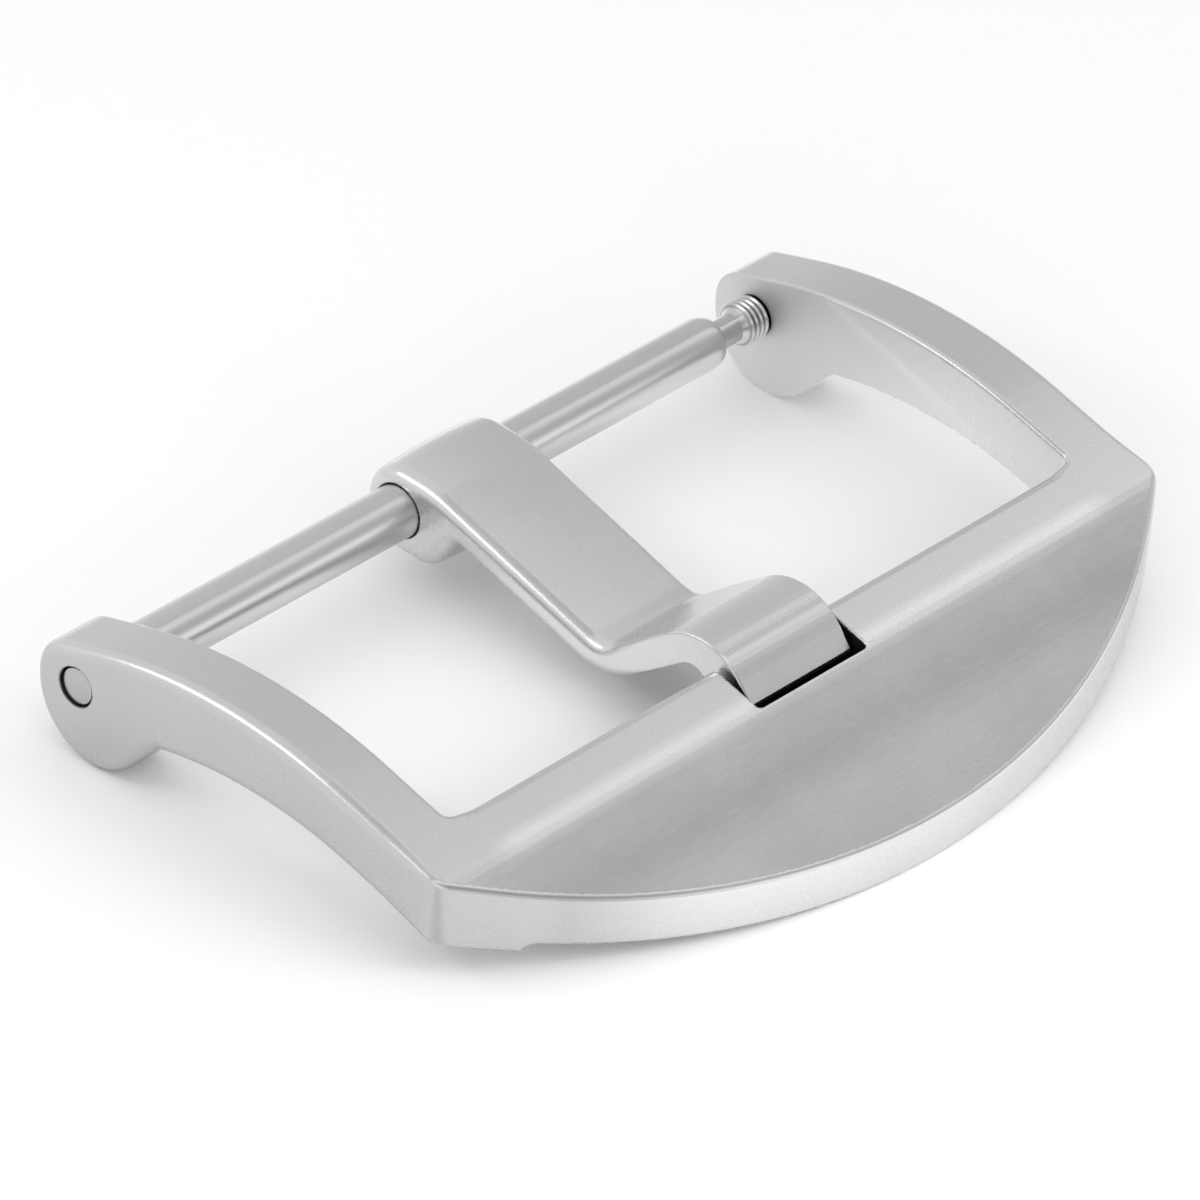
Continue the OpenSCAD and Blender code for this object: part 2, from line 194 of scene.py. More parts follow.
class BuckleBarSizes(PropertyGroup):
    """Sizes of the sprung strap bar, in millimetres."""

    tube_r: size("Tube radius", "Outer radius of the tube", 0.75)
    tube_wall: size("Tube wall", "Wall of the tube", 0.2)
    tube_half: size("Half tube", "Half the tube's length", 10.25)
    left_more: size("Left end", "How much further the tube reaches to the left arm than to the right one", 1.17)
    spun_len: size("Spun length", "Length of the tube's spun-in end", 0.5)
    spun_r: size("Spun radius", "Radius of the tube at its very end", 0.58)
    mouth_r: size("Mouth radius", "Radius of the hole in the tube's spun end", 0.45)
    cup_r: size("Cup radius", "Radius of the bore at the tube's left end", 0.66)
    neck_r: size("Neck radius", "Radius of the pin's neck", 0.41)
    ring_r: size("Ring radius", "Radius of the pin's turned rings", 0.63)
    ring_step: size("Ring step", "From one ring to the next", 0.18)
    rings: IntProperty(name="Rings", description="Number of rings on a pin", default=4, min=1, max=8)
    groove: size("Groove", "Depth of the grooves between the rings", 0.11)
    cone_len: size("Cone", "Length of the cone behind the rings", 0.15)
    tip_r: size("Tip radius", "Radius of the pin's tip", 0.5)
    tip_end: size("Tip end", "From the middle to the pin's domed end", 13.895)
    dome_h: size("Dome", "Height of the dome on the pin's end", 0.08)
    head_in: size("Head end", "From the middle to the inner end of the pin's head", 8.95)
    head_out: size("Head shoulder", "From the middle to the shoulder of the pin's head", 9.85)
    head_r: size("Head radius", "Radius of the pin's head", 0.5)
    steps: IntProperty(name="Steps", description="Steps round each turned piece", default=96, min=16, max=256)


class BuckleFinish(PropertyGroup):
    """Colours and roughness of the steels."""

    steel: tint("Steel", "Colour of the frame and the tongue", (0.66, 0.658, 0.654))
    # painted light: the tongue's colour is the frame's steel made a little lighter
    tongue: tint("Tongue", "Colour of the tongue", (0.69, 0.688, 0.684))
    steel_rough: part("Steel roughness", "Roughness of the satin finish", 0.27)
    bar: tint("Bar", "Colour of the strap bar's tube", (0.63, 0.63, 0.635))
    bar_rough: part("Bar roughness", "Roughness of the tube", 0.3)
    pin: tint("Pins", "Colour of the turned pins", (0.58, 0.58, 0.585))
    wire: tint("Wire", "Colour of the spring's wire", (0.4, 0.4, 0.41))


class BuckleStudio(PropertyGroup):
    """Camera, floor and lamps."""

    lens: FloatProperty(name="Lens", description="Focal length on a 36 mm sensor", default=354.5, unit="CAMERA")
    floor: tint("Floor", "Colour of the floor", (0.96, 0.96, 0.96))
    sky: part("Sky", "Strength of the world's light on the floor", 0.97)


# ---------------------------------------------------------------- outlines


def crossing(p, a, q, b):
    """Where the line from p at angle a meets the line from q at angle b."""
    t = ((q[0] - p[0]) * math.sin(b) - (q[1] - p[1]) * math.cos(b)) / math.sin(b - a)
    return (p[0] + t * math.cos(a), p[1] + t * math.sin(a))


def rounded(path, fine=0.0015):
    """Points of a closed outline whose corners (x, y, radius) are rounded with arcs."""
    points = []
    for i, (px, py, r) in enumerate(path):
        p = Vector((px, py))
        if r <= 0:
            points.append((px, py))
            continue
        u = (Vector(path[i - 1][:2]) - p).normalized()
        v = (Vector(path[(i + 1) % len(path)][:2]) - p).normalized()
        half = u.angle(v) / 2
        c = p + (u + v).normalized() * r / math.sin(half)
        start = p + u * r / math.tan(half) - c
        end = p + v * r / math.tan(half) - c
        a = math.atan2(start.y, start.x)
        sweep = (math.atan2(end.y, end.x) - a + 3 * math.pi) % (2 * math.pi) - math.pi
        n = max(3, math.ceil(abs(sweep) / math.acos(1 - fine / max(r, 2 * fine)) / 2))
        points += [(c.x + r * math.cos(a + sweep * k / n), c.y + r * math.sin(a + sweep * k / n)) for k in range(n + 1)]
    return points


def top_corners(s):
    """Corners of the frame's top, seen from the side: crest, brow, apron and a point far ahead."""
    mid = (s.crest_fwd, s.crest_h - s.top_r)
    front = (mid[0] + s.top_r * math.sin(s.front_fall), mid[1] + s.top_r * math.cos(s.front_fall))
    back = (mid[0] - s.top_r * math.sin(s.back_fall), mid[1] + s.top_r * math.cos(s.back_fall))
    crest = crossing(back, s.back_fall, front, -s.front_fall)
    brow = crossing(front, -s.front_fall, (s.window_fwd + s.brow_len, 0), math.pi / 2)
    edge_h = s.plate_t - BAR_Z
    slope = math.tan(s.apron_fall)
    return [(*crest, s.top_r), (*brow, s.brow_r), (FRONT - s.apron_len, edge_h + s.apron_len * slope, s.apron_r),
            (FRONT + PAST_FRONT, edge_h - PAST_FRONT * slope, 0)]


def arm_corners(s):
    """Corners of an arm's side outline, from under the front edge round the ear to the top."""
    top = top_corners(s)
    ear_top = crossing((-s.ear_back, 0), math.pi / 2, top[0][:2], s.back_fall)
    mid = (s.arch_fwd, s.arch_h - s.arch_r)
    rise, run = s.arch_r * math.cos(s.front_fall), s.arch_r * math.sin(s.front_fall)
    arch_front, arch_back = (mid[0] + run, mid[1] + rise), (mid[0] - run, mid[1] + rise)
    arch = crossing(arch_back, s.front_fall, arch_front, -s.front_fall)
    arch_end = crossing(arch_front, -s.front_fall, (top[3][0], 0), math.pi / 2)
    lobe = (s.ear_low_fwd + s.lobe_r * math.tan(s.lobe_rise / 2), -BAR_Z)
    notch = crossing(lobe, s.lobe_rise, arch_back, s.front_fall)
    return [(*arch_end, 0), (*arch, s.arch_r), (*notch, s.ear_notch_r), (*lobe, s.lobe_r),
            (-s.ear_back, -BAR_Z, s.ear_r), (*ear_top, s.ear_top_r), *top]


def under_at(s, f):
    """Height of the plate's underside over the bar, at a distance forward of it."""
    return (FRONT - f) * math.tan(s.plate_fall) - BAR_Z


def tongue_corners(s, t):
    """Corners of the tongue's side outline, from the eye's back over the top."""
    rest_up = (s.notch_floor + t.seat_gap) / math.cos(s.plate_fall)
    tip_fwd = s.window_fwd + s.notch_len - t.tip_gap
    tip_low = (tip_fwd, under_at(s, tip_fwd) + rest_up)
    heel_fwd = s.window_fwd + t.heel_fwd
    heel = (heel_fwd, under_at(s, heel_fwd) + rest_up)
    eye_r = t.eye_bore + t.eye_wall
    start = (eye_r * math.sin(t.blade_fall) + t.eye_flat, eye_r)
    hump = (s.window_fwd - t.hump_back, tip_low[1] + t.tip_h + t.hump_h)
    dip = crossing(start, -t.blade_fall, hump, t.hump_rise)
    low_start = (start[0], start[1] - t.blade_t / math.cos(t.blade_fall))
    rise_low = (dip[0] + t.hump_t * math.sin(t.hump_rise), dip[1] - t.hump_t * math.cos(t.hump_rise))
    dip_low = crossing(low_start, -t.blade_fall, rise_low, t.hump_rise)
    arch = crossing(dip_low, t.hump_rise, heel, math.radians(135))
    eye_front = (t.eye_low_fwd + t.eye_front_r * math.tan(t.eye_rise / 2), -t.eye_low)
    notch = crossing(eye_front, t.eye_rise, low_start, -t.blade_fall)
    return [(-eye_r, eye_r, eye_r), (*start, t.bend_r), (*dip, t.dip_r), (*hump, t.hump_r),
            (tip_low[0], tip_low[1] + t.tip_h, t.tip_r), (*tip_low, t.toe_r), (*heel, t.tip_r),
            (*arch, t.hump_t * 2 / 3), (*dip_low, t.dip_r + t.hump_t), (*notch, t.eye_notch_r),
            (*eye_front, t.eye_front_r),
            (-eye_r, -t.eye_low, t.eye_back_r)]


# ---------------------------------------------------------------- solids from distances


def outline_distance(points, u, v):
    """Distance of every (u, v) from a closed outline, negative inside it."""
    nearest = np.full(np.broadcast_shapes(u.shape, v.shape), np.inf)
    inside = np.zeros(nearest.shape, bool)
    for (ax, ay), (bx, by) in zip(points, points[1:] + points[:1]):
        ex, ey = bx - ax, by - ay
        length = ex * ex + ey * ey
        if length < 1e-12:
            continue
        t = np.clip(((u - ax) * ex + (v - ay) * ey) / length, 0, 1)
        nearest = np.minimum(nearest, (u - ax - t * ex) ** 2 + (v - ay - t * ey) ** 2)
        if ay != by:
            inside ^= ((v >= ay) != (v >= by)) & (u < ax + (v - ay) * ex / ey)
    return np.where(inside, -1, 1) * np.sqrt(nearest)


def ease(t):
    """A soft step from 0 to 1."""
    t = np.clip(t, 0, 1)
    return t * t * (3 - 2 * t)


def common(a, b, r):
    """What two solids share, with the edge between them rounded to radius r."""
    a, b = a + r, b + r
    return np.minimum(np.maximum(a, b), 0) + np.hypot(np.maximum(a, 0), np.maximum(b, 0)) - r


def joined(a, b, soft):
    """Two solids as one, with a soft valley between them."""
    near = np.maximum(soft - np.abs(a - b), 0) / soft
    return np.minimum(a, b) - near * near * soft / 4


def field_slope(field, where, reach=0.004):
    """Depth of points in a solid's field and the way out of the solid there."""
    slope = np.zeros(where.shape)
    depth = np.zeros(len(where))
    for way in ((1, 1, 1), (1, -1, -1), (-1, 1, -1), (-1, -1, 1)):
        way = np.array(way, float)
        x, f, w = (where + way * reach).T
        value = field(x, f, w)
        slope += value[:, None] * way
        depth += value / 4
    return depth, slope / np.maximum(np.linalg.norm(slope, axis=1), 1e-9)[:, None]


def skin(name, field, low, high, cell):
    """A smooth mesh of a solid: field gives the distance at x, forward and up, in millimetres."""
    counts = [math.ceil((end - start) / cell) + 1 for start, end in zip(low, high)]
    grids = [start + cell * np.arange(n) for start, n in zip(low, counts)]
    depth = field(grids[0][:, None, None], grids[1][None, :, None], grids[2][None, None, :]).astype(np.float32)
    depth = np.ascontiguousarray(np.broadcast_to(depth, counts))
    solid = depth < 0
    total = sum(solid[i:counts[0] - 1 + i, j:counts[1] - 1 + j, k:counts[2] - 1 + k].astype(np.int8)
                for i in (0, 1) for j in (0, 1) for k in (0, 1))
    cells = np.argwhere((total > 0) & (total < 8))
    number = np.full([n - 1 for n in counts], -1, np.int64)
    number[tuple(cells.T)] = np.arange(len(cells))
    corner = {(i, j, k): depth[cells[:, 0] + i, cells[:, 1] + j, cells[:, 2] + k]
              for i in (0, 1) for j in (0, 1) for k in (0, 1)}
    place = np.zeros((len(cells), 3))
    hits = np.zeros(len(cells))
    for axis in range(3):
        for i in (0, 1):
            for j in (0, 1):
                first, last = [0, 0, 0], [0, 0, 0]
                others = [a for a in range(3) if a != axis]
                first[others[0]] = last[others[0]] = i
                first[others[1]] = last[others[1]] = j
                last[axis] = 1
                d0, d1 = corner[tuple(first)], corner[tuple(last)]
                cut = (d0 < 0) != (d1 < 0)
                t = np.where(cut, d0 / np.where(cut, d0 - d1, 1), 0)
                spot = np.array(first, float)[None, :].repeat(len(cells), 0)
                spot[:, axis] = t
                place[cut] += spot[cut]
                hits[cut] += 1
    place = place / hits[:, None] + cells
    where = np.array(low) + cell * place
    for _ in range(2):
        depth, slope = field_slope(field, where)
        step = np.clip(depth, -0.5 * cell, 0.5 * cell)
        where -= slope * step[:, None]
    depth, slope = field_slope(field, where)
    faces = []
    for axis in range(3):
        b, c = (axis + 1) % 3, (axis + 2) % 3
        here = [slice(1, -1)] * 3
        here[axis] = slice(0, -1)
        there = list(here)
        there[axis] = slice(1, None)
        change = solid[tuple(here)] != solid[tuple(there)]
        spots = np.argwhere(change)
        spots[:, b] += 1
        spots[:, c] += 1
        ring = []
        for ob, oc in ((1, 1), (0, 1), (0, 0), (1, 0)):
            q = spots.copy()
            q[:, b] -= ob
            q[:, c] -= oc
            ring.append(number[tuple(q.T)])
        quad = np.stack(ring, 1)
        outward = solid[tuple(spots.T)]
        quad[~outward] = quad[~outward][:, ::-1]
        faces.append(quad)
    faces = np.concatenate(faces)
    # forward is -Y, so the faces turn over
    points = np.stack([where[:, 0], BAR_Y - where[:, 1], BAR_Z + where[:, 2]], 1) * MM
    normals = np.stack([slope[:, 0], -slope[:, 1], slope[:, 2]], 1)
    return mesh_piece(name, points, faces[:, ::-1], normals)


def mesh_piece(name, points, faces, normals=None):
    """An object with smooth faces, linked to the scene."""
    mesh = bpy.data.meshes.new(name)
    mesh.from_pydata(np.asarray(points).tolist(), [], np.asarray(faces).tolist())
    mesh.polygons.foreach_set("use_smooth", [True] * len(mesh.polygons))
    if normals is not None:
        mesh.normals_split_custom_set_from_vertices(normals.tolist())
    mesh.update()
    piece = bpy.data.objects.new(name, mesh)
    bpy.context.scene.collection.objects.link(piece)
    return piece


def lathe(name, profile, steps, side=1):
    """A closed ring or solid turned on the bar's axis; profile gives (along X, radius) in millimetres."""
    points, faces = [], []
    rows = len(profile)
    for i in range(steps):
        a = 2 * math.pi * i / steps
        points += [(side * x * MM, (BAR_Y + r * math.cos(a)) * MM, (BAR_Z + r * math.sin(a)) * MM) for x, r in profile]
    for i in range(steps):
        j = (i + 1) % steps
        for k in range(rows - 1):
            quad = (i * rows + k, i * rows + k + 1, j * rows + k + 1, j * rows + k)
            faces.append(quad if side > 0 else quad[::-1])
    piece = mesh_piece(name, points, faces)
    piece.data.set_sharp_from_angle(angle=math.radians(35))
    weld = piece.modifiers.new("Weld axis", "WELD")
    weld.merge_threshold = 1e-7
    return piece


# ---------------------------------------------------------------- finishes


class Value:
    """A shader socket with arithmetic: numbers go through Math nodes, vectors through Vector Math."""

    def __init__(self, finish, socket):
        self.finish = finish
        self.socket = socket

    def _with(self, operation, first, second):
        if self.socket.type == "VECTOR":
            return self.finish.node("ShaderNodeVectorMath", {"operation": operation}, [first, second])
        return self.finish.node("ShaderNodeMath", {"operation": operation}, [first, second])

    def __add__(self, other):
        return self._with("ADD", self, other)

    __radd__ = __add__

    def __sub__(self, other):
        return self._with("SUBTRACT", self, other)

    def __rsub__(self, other):
        return self._with("SUBTRACT", other, self)

    def __mul__(self, other):
        return self._with("MULTIPLY", self, other)

    __rmul__ = __mul__

    def __truediv__(self, other):
        return self._with("DIVIDE", self, other)

    def __rtruediv__(self, other):
        return self._with("DIVIDE", other, self)

    def __pow__(self, other):
        return self._with("POWER", self, other)

    def __rpow__(self, other):
        return self._with("POWER", other, self)

    def __neg__(self):
        return self * -1


class Finish:
    """One material, or the world, built node by node."""

    def __init__(self, holder):
        holder.use_nodes = True
        self.holder = holder
        self.tree = holder.node_tree
        self.tree.nodes.clear()

    def node(self, kind, settings=None, inputs=None, out=0):
        """Adds a node, sets its settings, then fills its sockets by number or name."""
        made = self.tree.nodes.new(kind)
        for key, value in (settings or {}).items():
            if key == "stops":
                ramp = made.color_ramp
                while len(ramp.elements) < len(value):
                    ramp.elements.new(0.5)
                for stop, (place, colour) in zip(ramp.elements, value):
                    stop.position = place
                    stop.color = (*colour, 1.0)
            else:
                setattr(made, key, value)
        pairs = inputs.items() if isinstance(inputs, dict) else enumerate(inputs or [])
        for key, value in pairs:
            socket = made.inputs[key]
            if isinstance(value, Value):
                self.tree.links.new(value.socket, socket)
            elif socket.type in ("VECTOR", "RGBA") and isinstance(value, (int, float)):
                socket.default_value = [value] * len(socket.default_value)
            elif socket.type == "RGBA" and len(value) == 3:
                socket.default_value = (*value, 1.0)
            else:
                socket.default_value = value
        return Value(self, made.outputs[out]) if made.outputs else made

    def range(self, value, low, high, to_low, to_high):
        """Maps one range of numbers onto another, held at its ends."""
        return self.node("ShaderNodeMapRange", {}, [value, low, high, to_low, to_high])

    def blend(self, share, first, second):
        """Mixes two colours."""
        return self.node("ShaderNodeMix", {"data_type": "RGBA"}, {0: share, 6: first, 7: second}, out=2)

    def noise(self, place, scale, detail=4.0, rough=0.5):
        """Noise from 0 to 1, at so many waves a millimetre."""
        return self.node("ShaderNodeTexNoise", {},
                         {"Vector": place, "Scale": scale, "Detail": detail, "Roughness": rough})


def steel_finish(name, colour, rough, grain, stretch, marks, painted_shade=None, light=None, matt=None):
    """Satin steel: fine grain stretched along the polishing, cloudy gloss and faint handling marks.

    The last three take (finish, x, forward, up). They give where shade is painted dark, where painted light or
    shade scales the colour, and where it was left matt.
    """
    finish = Finish(bpy.data.materials.new(name))
    place = finish.node("ShaderNodeTexCoord", out="Object") * (1000.0, 1000.0, 1000.0)
    apart = finish.node("ShaderNodeSeparateXYZ", {}, [place]).socket.node
    spot = (finish.node("ShaderNodeMath", {"operation": "ABSOLUTE"}, [Value(finish, apart.outputs[0])]),
            BAR_Y - Value(finish, apart.outputs[1]), Value(finish, apart.outputs[2]) - BAR_Z)
    lay = finish.noise(place * stretch, 1.0, 3.0, 0.55)
    dust = finish.noise(place, 14.0, 3.0, 0.6)
    cloud = finish.noise(place, 0.35, 3.0, 0.5)
    scuffs = finish.range(finish.noise(place * (0.9, 2.2, 1.4), 1.7, 8.0, 0.7), 0.64, 0.8, 0.0, 1.0)
    gloss = rough + (cloud - 0.5) * 0.05 + (lay - 0.5) * 0.05 * grain + scuffs * 0.02 * marks
    shade = finish.range(cloud, 0.3, 0.7, 0.0, 1.0)
    dark = tuple(c * 0.97 for c in colour)
    tone = finish.blend(shade, dark, tuple(colour))
    tone = finish.blend((lay - 0.5) * 0.22 * grain + 0.1, tone, tuple(min(1.0, c * 1.12) for c in colour))
    # painted light: the colour is scaled lighter or darker by place
    if light:
        tone = finish.node("ShaderNodeVectorMath", {"operation": "SCALE"}, {0: tone, 3: light(finish, *spot)})
    # painted shade: near-black is blended in where the mask says, with rougher gloss
    if painted_shade:
        painted_dark = painted_shade(finish, *spot)
        tone = finish.blend(painted_dark, tone, (0.03, 0.03, 0.032))
        gloss = gloss + painted_dark * 0.3
    if matt:
        gloss = gloss + matt(finish, *spot) * 0.3
    height = (lay - 0.5) * 0.4 * grain + (dust - 0.5) * 0.3 * grain - scuffs * 0.05 * marks
    bump = finish.node("ShaderNodeBump", {}, {"Strength": 0.08, "Distance": 0.000008, "Height": height})
    shader = finish.node(
        "ShaderNodeBsdfPrincipled", {},
        {"Base Color": tone, "Metallic": 1.0, "Roughness": gloss, "Normal": bump})
    finish.node("ShaderNodeOutputMaterial", {}, {"Surface": shader})
    return finish.holder


def dress(piece, material, slot, body, *nodes):
    """Gives a piece its finish, the body it rides on and the nodes it replaces; its record slot is not used."""
    piece.data.materials.clear()
    piece.data.materials.append(material)
    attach(piece, body)
    if nodes:
        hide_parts(*nodes)
    return piece


# ---------------------------------------------------------------- studio


def floor_paper(studio):
    """Matt white paper that the steel mirrors with painted reflections: greyer in places, and glowing whiter in others
    for glossy rays.
    """
    paper = Finish(bpy.data.materials.new("Floor paper"))
    place = paper.node("ShaderNodeTexCoord", out="Object") * (1000.0, 1000.0, 1000.0)
    fibre = paper.noise(place, 1.5, 5.0, 0.6)
    shade = paper.blend(fibre, tuple(c * 0.985 for c in studio.floor), tuple(studio.floor))
    mirrored = paper.node("ShaderNodeLightPath", out="Is Glossy Ray")
    parts = paper.node("ShaderNodeSeparateXYZ", {}, [place]).socket.node
    across, ahead = Value(paper, parts.outputs[0]), BAR_Y - Value(paper, parts.outputs[1])
    # painted darker reflection: to glossy rays the paper is greyer on the left and by the front corner
    corner = paper.range(ahead, 12.3, 13.0, 0.0, 0.2) * paper.range(ahead, 13.7, 14.3, 1.0, 0.0)
    grey = paper.range(across, -7.5, -12.5, 0.0, 0.17) + corner * paper.range(across, -14.0, -14.6, 0.0, 1.0)
    shade = paper.blend(mirrored * grey, shade, (0.0, 0.0, 0.0))
    # painted reflection: the paper glows for glossy rays only, whiter beside the tongue and under the right arm, where
    # the buckle's own shadow lies
    by_tongue = paper.range(across, -8.0, -5.5, 0.0, 0.14) * paper.range(across, -3.2, -2.2, 1.0, 0.0)
    by_tongue = by_tongue * paper.range(ahead, 0.8, 2.0, 0.0, 1.0)
    by_arm = paper.range(across, 6.5, 9.0, 0.0, 0.24)
    within = paper.range(ahead, 10.0, 12.0, 1.0, 0.0)
    white = paper.blend(mirrored * within * (by_tongue + by_arm), (0.0, 0.0, 0.0), (1.0, 1.0, 1.0))
    sheet = paper.node("ShaderNodeBsdfPrincipled", {},
                       {"Base Color": shade, "Roughness": 0.9, "Emission Color": white, "Emission Strength": 1.0})
    paper.node("ShaderNodeOutputMaterial", {}, {"Surface": sheet})
    return paper.holder


def studio_sky(studio):
    """A white backdrop, plain light on the floor, and a sky of soft bands for the steel to mirror."""
    sky = Finish(bpy.data.worlds.new("Studio sky"))
    path = sky.node("ShaderNodeLightPath").socket.node
    seen, glossy = Value(sky, path.outputs["Is Camera Ray"]), Value(sky, path.outputs["Is Glossy Ray"])
    way = sky.node("ShaderNodeTexCoord", out="Generated")
    apart = sky.node("ShaderNodeSeparateXYZ", {}, [way]).socket.node
    across, ahead, up = (Value(sky, apart.outputs[i]) for i in range(3))
    arc = sky.node("ShaderNodeMath", {"operation": "ARCTAN2"}, [-ahead, up]) / math.pi + 0.5
    tone = sky.node("ShaderNodeValToRGB", {"stops": [(at, (v, v, v)) for at, v in SKY_TONES]}, [arc])
    left_glow = sky.range(across, 0.64, 0.52, 0.0, 0.32) * sky.range(ahead, -0.5, -0.2, 0.0, 1.0)
    corner_dim = sky.range(across, 0.4, 0.0, 0.0, 0.5) * sky.range(ahead, -0.5, -0.8, 0.0, 1.0)
    strength = seen + (1 - seen) * (glossy * (1 + left_glow - corner_dim) + (1 - glossy) * studio.sky)
    shade = sky.blend(glossy, (1.0, 1.0, 1.0), tone)
    light = sky.node("ShaderNodeBackground", {}, {"Color": shade, "Strength": strength})
    sky.node("ShaderNodeOutputWorld", {}, {"Surface": light})
    return sky.holder


def hang_lamp(scene, name, spot, along, length, width, glow):
    """A soft rectangular lamp that faces the buckle and isn't seen itself; floor lamps aren't mirrored either."""
    lamp = bpy.data.lights.new(name, "AREA")
    lamp.shape = "RECTANGLE"
    lamp.size, lamp.size_y = length * MM, width * MM
    lamp.energy = glow * math.pi * lamp.size * lamp.size_y
    holder = bpy.data.objects.new(name, lamp)
    at = Vector(spot) * MM
    out = (at - Vector((0, BAR_Y - 6, BAR_Z)) * MM).normalized()
    side = Vector(along)
    side = (side - out * side.dot(out)).normalized()
    holder.matrix_world = Matrix.Translation(at) @ Matrix((side, out.cross(side), out)).transposed().to_4x4()
    holder.visible_camera = False
    holder.visible_glossy = not name.startswith("Floor")
    scene.collection.objects.link(holder)


def place_camera(scene, focal_length):
    """The camera at the photograph's viewing angle."""
    lens = bpy.data.cameras.new("Camera")
    lens.sensor_width = 36
    lens.lens = focal_length
    lens.clip_start = 0.01
    camera = bpy.data.objects.new("Camera", lens)
    at = Vector((0, BAR_Y * MM, BAR_Z * MM)) + Vector(CAMERA_PLACE)
    turned = Matrix((CAMERA_RIGHT, CAMERA_UP, CAMERA_BACK)).transposed().to_4x4()
    camera.matrix_world = Matrix.Translation(at) @ turned
    scene.collection.objects.link(camera)
    scene.camera = camera


# ---------------------------------------------------------------- operators


class BUCKLE_OT_frame(Operator):
    """Build the D-fronted frame with its arched arms, ears and tongue notch"""

    bl_idname = "buckle.frame"
    bl_label = "Buckle Frame"

    def execute(self, context):
        s, t = context.scene.buckle_frame, context.scene.buckle_tongue
        arm = rounded(arm_corners(s))
        # everything under the top and ahead of the ears' backs
        lid = rounded([(FRONT + PAST_FRONT, FAR_BELOW, 0), (-s.ear_back - 0.02, FAR_BELOW, 0), *arm_corners(s)[5:]])
        front_mid = FRONT - s.front_r
        lean = math.asin(HALF_OUT / s.front_r)
        corner = s.corner_r * math.tan(math.pi / 4 - lean / 2) * math.cos(lean)
        tilt = math.cos(s.plate_fall)

        def field(x, f, w):
            under = (FRONT - f) * math.tan(s.plate_fall) - BAR_Z
            arms = np.maximum(outline_distance(arm, f, w), s.half_in - np.abs(x))
            lower = joined(arms, (under - w) * tilt, s.foot_blend)
            body = np.maximum(lower, outline_distance(lid, f, w))
            outside = common(np.abs(x) - HALF_OUT, np.hypot(x, f - front_mid) - s.front_r, corner)
            # the outer edges sharpen where the arms run into the plate
            outer = s.outer_edge + (s.front_edge - s.outer_edge) * ease((f - 10.5) / 2.5)
            body = common(body, outside, outer)
            window = common(np.abs(x) - s.half_in, f - s.window_fwd, s.window_corner)
            rear = ease(s.half_in - np.abs(x)) * ease(f - s.window_fwd + 1.2)
            body = common(body, -window, s.inner_edge + (s.rear_edge - s.inner_edge) * rear)
            floor = under + s.notch_floor / tilt
            notch = common(np.abs(x) - s.notch_half, f - s.window_fwd - s.notch_len, s.notch_corner)
            body = common(body, -np.maximum(notch, (floor - w) * tilt), s.notch_edge)
            return common(body, s.hole_r - np.hypot(f, w), s.hole_edge)

        low = (-HALF_OUT - ROOM, -s.ear_back - ROOM, -BAR_Z - ROOM)
        high = (HALF_OUT + ROOM, FRONT + ROOM, s.crest_h + ROOM)
        piece = skin("buckle_frame", field, low, high, s.detail)
        look = context.scene.buckle_finish

        brow_f, brow_h = top_corners(s)[1][:2]
        wall_f = s.window_fwd + s.notch_len
        tip_f = wall_f - t.tip_gap
        apron_f = FRONT - s.apron_len

        def notch_painted_shade(finish, x, f, w):
            """Painted shade on the notch's walls and floor, darkest in the gap round the tongue's tip, and in the
            insides of the holes.
            """
            below = finish.range(w + (f - brow_f) * math.tan(s.front_fall), brow_h - 0.12, brow_h - 0.03, 1.0, 0.0)
            above = finish.range(w + f * math.tan(s.plate_fall), under_at(s, 0) + 0.3, under_at(s, 0) + 0.4, 0.0, 1.0)
            across = finish.range(x, s.notch_half + 0.03, s.notch_half + 0.08, 1.0, 0.0)
            ahead = finish.range(f, wall_f + 0.03, wall_f + 0.08, 1.0, 0.0)
            behind = finish.range(f, s.window_fwd + 0.1, s.window_fwd + 0.6, 0.0, 1.0)
            by_tip = finish.range(f, tip_f - 0.3, tip_f - 0.05, 0.0, 0.7)
            by_side = finish.range(x, t.half_w - 0.1, t.half_w, 0.0, 0.7)
            notch = below * above * across * ahead * behind * (0.3 + (by_tip + by_side))
            hole = finish.range((f * f + w * w) ** 0.5, s.hole_r + 0.02, s.hole_r + 0.05, 1.0, 0.0)
            return notch + hole * finish.range(x, HALF_OUT, HALF_OUT - 0.05, 0.3, 0.9)

        def crest_painted_light(finish, x, f, w):
            """Painted highlight along the brow, painted shade down the plate and a lighter painted band along its
            front.
            """
            crest = finish.range(f, brow_f - 0.6, brow_f - 0.3, 0.0, 1.0)
            crest = crest * finish.range(f, brow_f - 0.15, brow_f + 0.35, 1.0, 0.0)
            painted_dim = finish.range(f, brow_f + 0.7, brow_f + 1.7, 0.0, 1.0)
            painted_dim = painted_dim * finish.range(f, apron_f - 0.5, apron_f + 0.7, 1.0, 0.0)
            apron = finish.range(f, apron_f, apron_f + 1.0, 0.0, 1.0)
            inside = finish.range(x, s.half_in, s.half_in - 1.0, 0.0, 1.0)
            return 1 + (0.2 * crest - 0.09 * painted_dim + 0.04 * apron) * inside

        def ear_face(finish, x, f, w):
            """The ears' inner faces."""
            return finish.range(x, s.half_in + 0.1, s.half_in + 0.05, 0.0, 1.0) * finish.range(f, 1.5, 6.5, 1.0, 0.0)

        steel = steel_finish("Frame steel", look.steel, look.steel_rough, 1.0, (2.0, 9.0, 9.0), 1.0,
                             notch_painted_shade, crest_painted_light, ear_face)
        dress(piece, steel, "frame_steel", "frame_body", "frame")
        return {"FINISHED"}


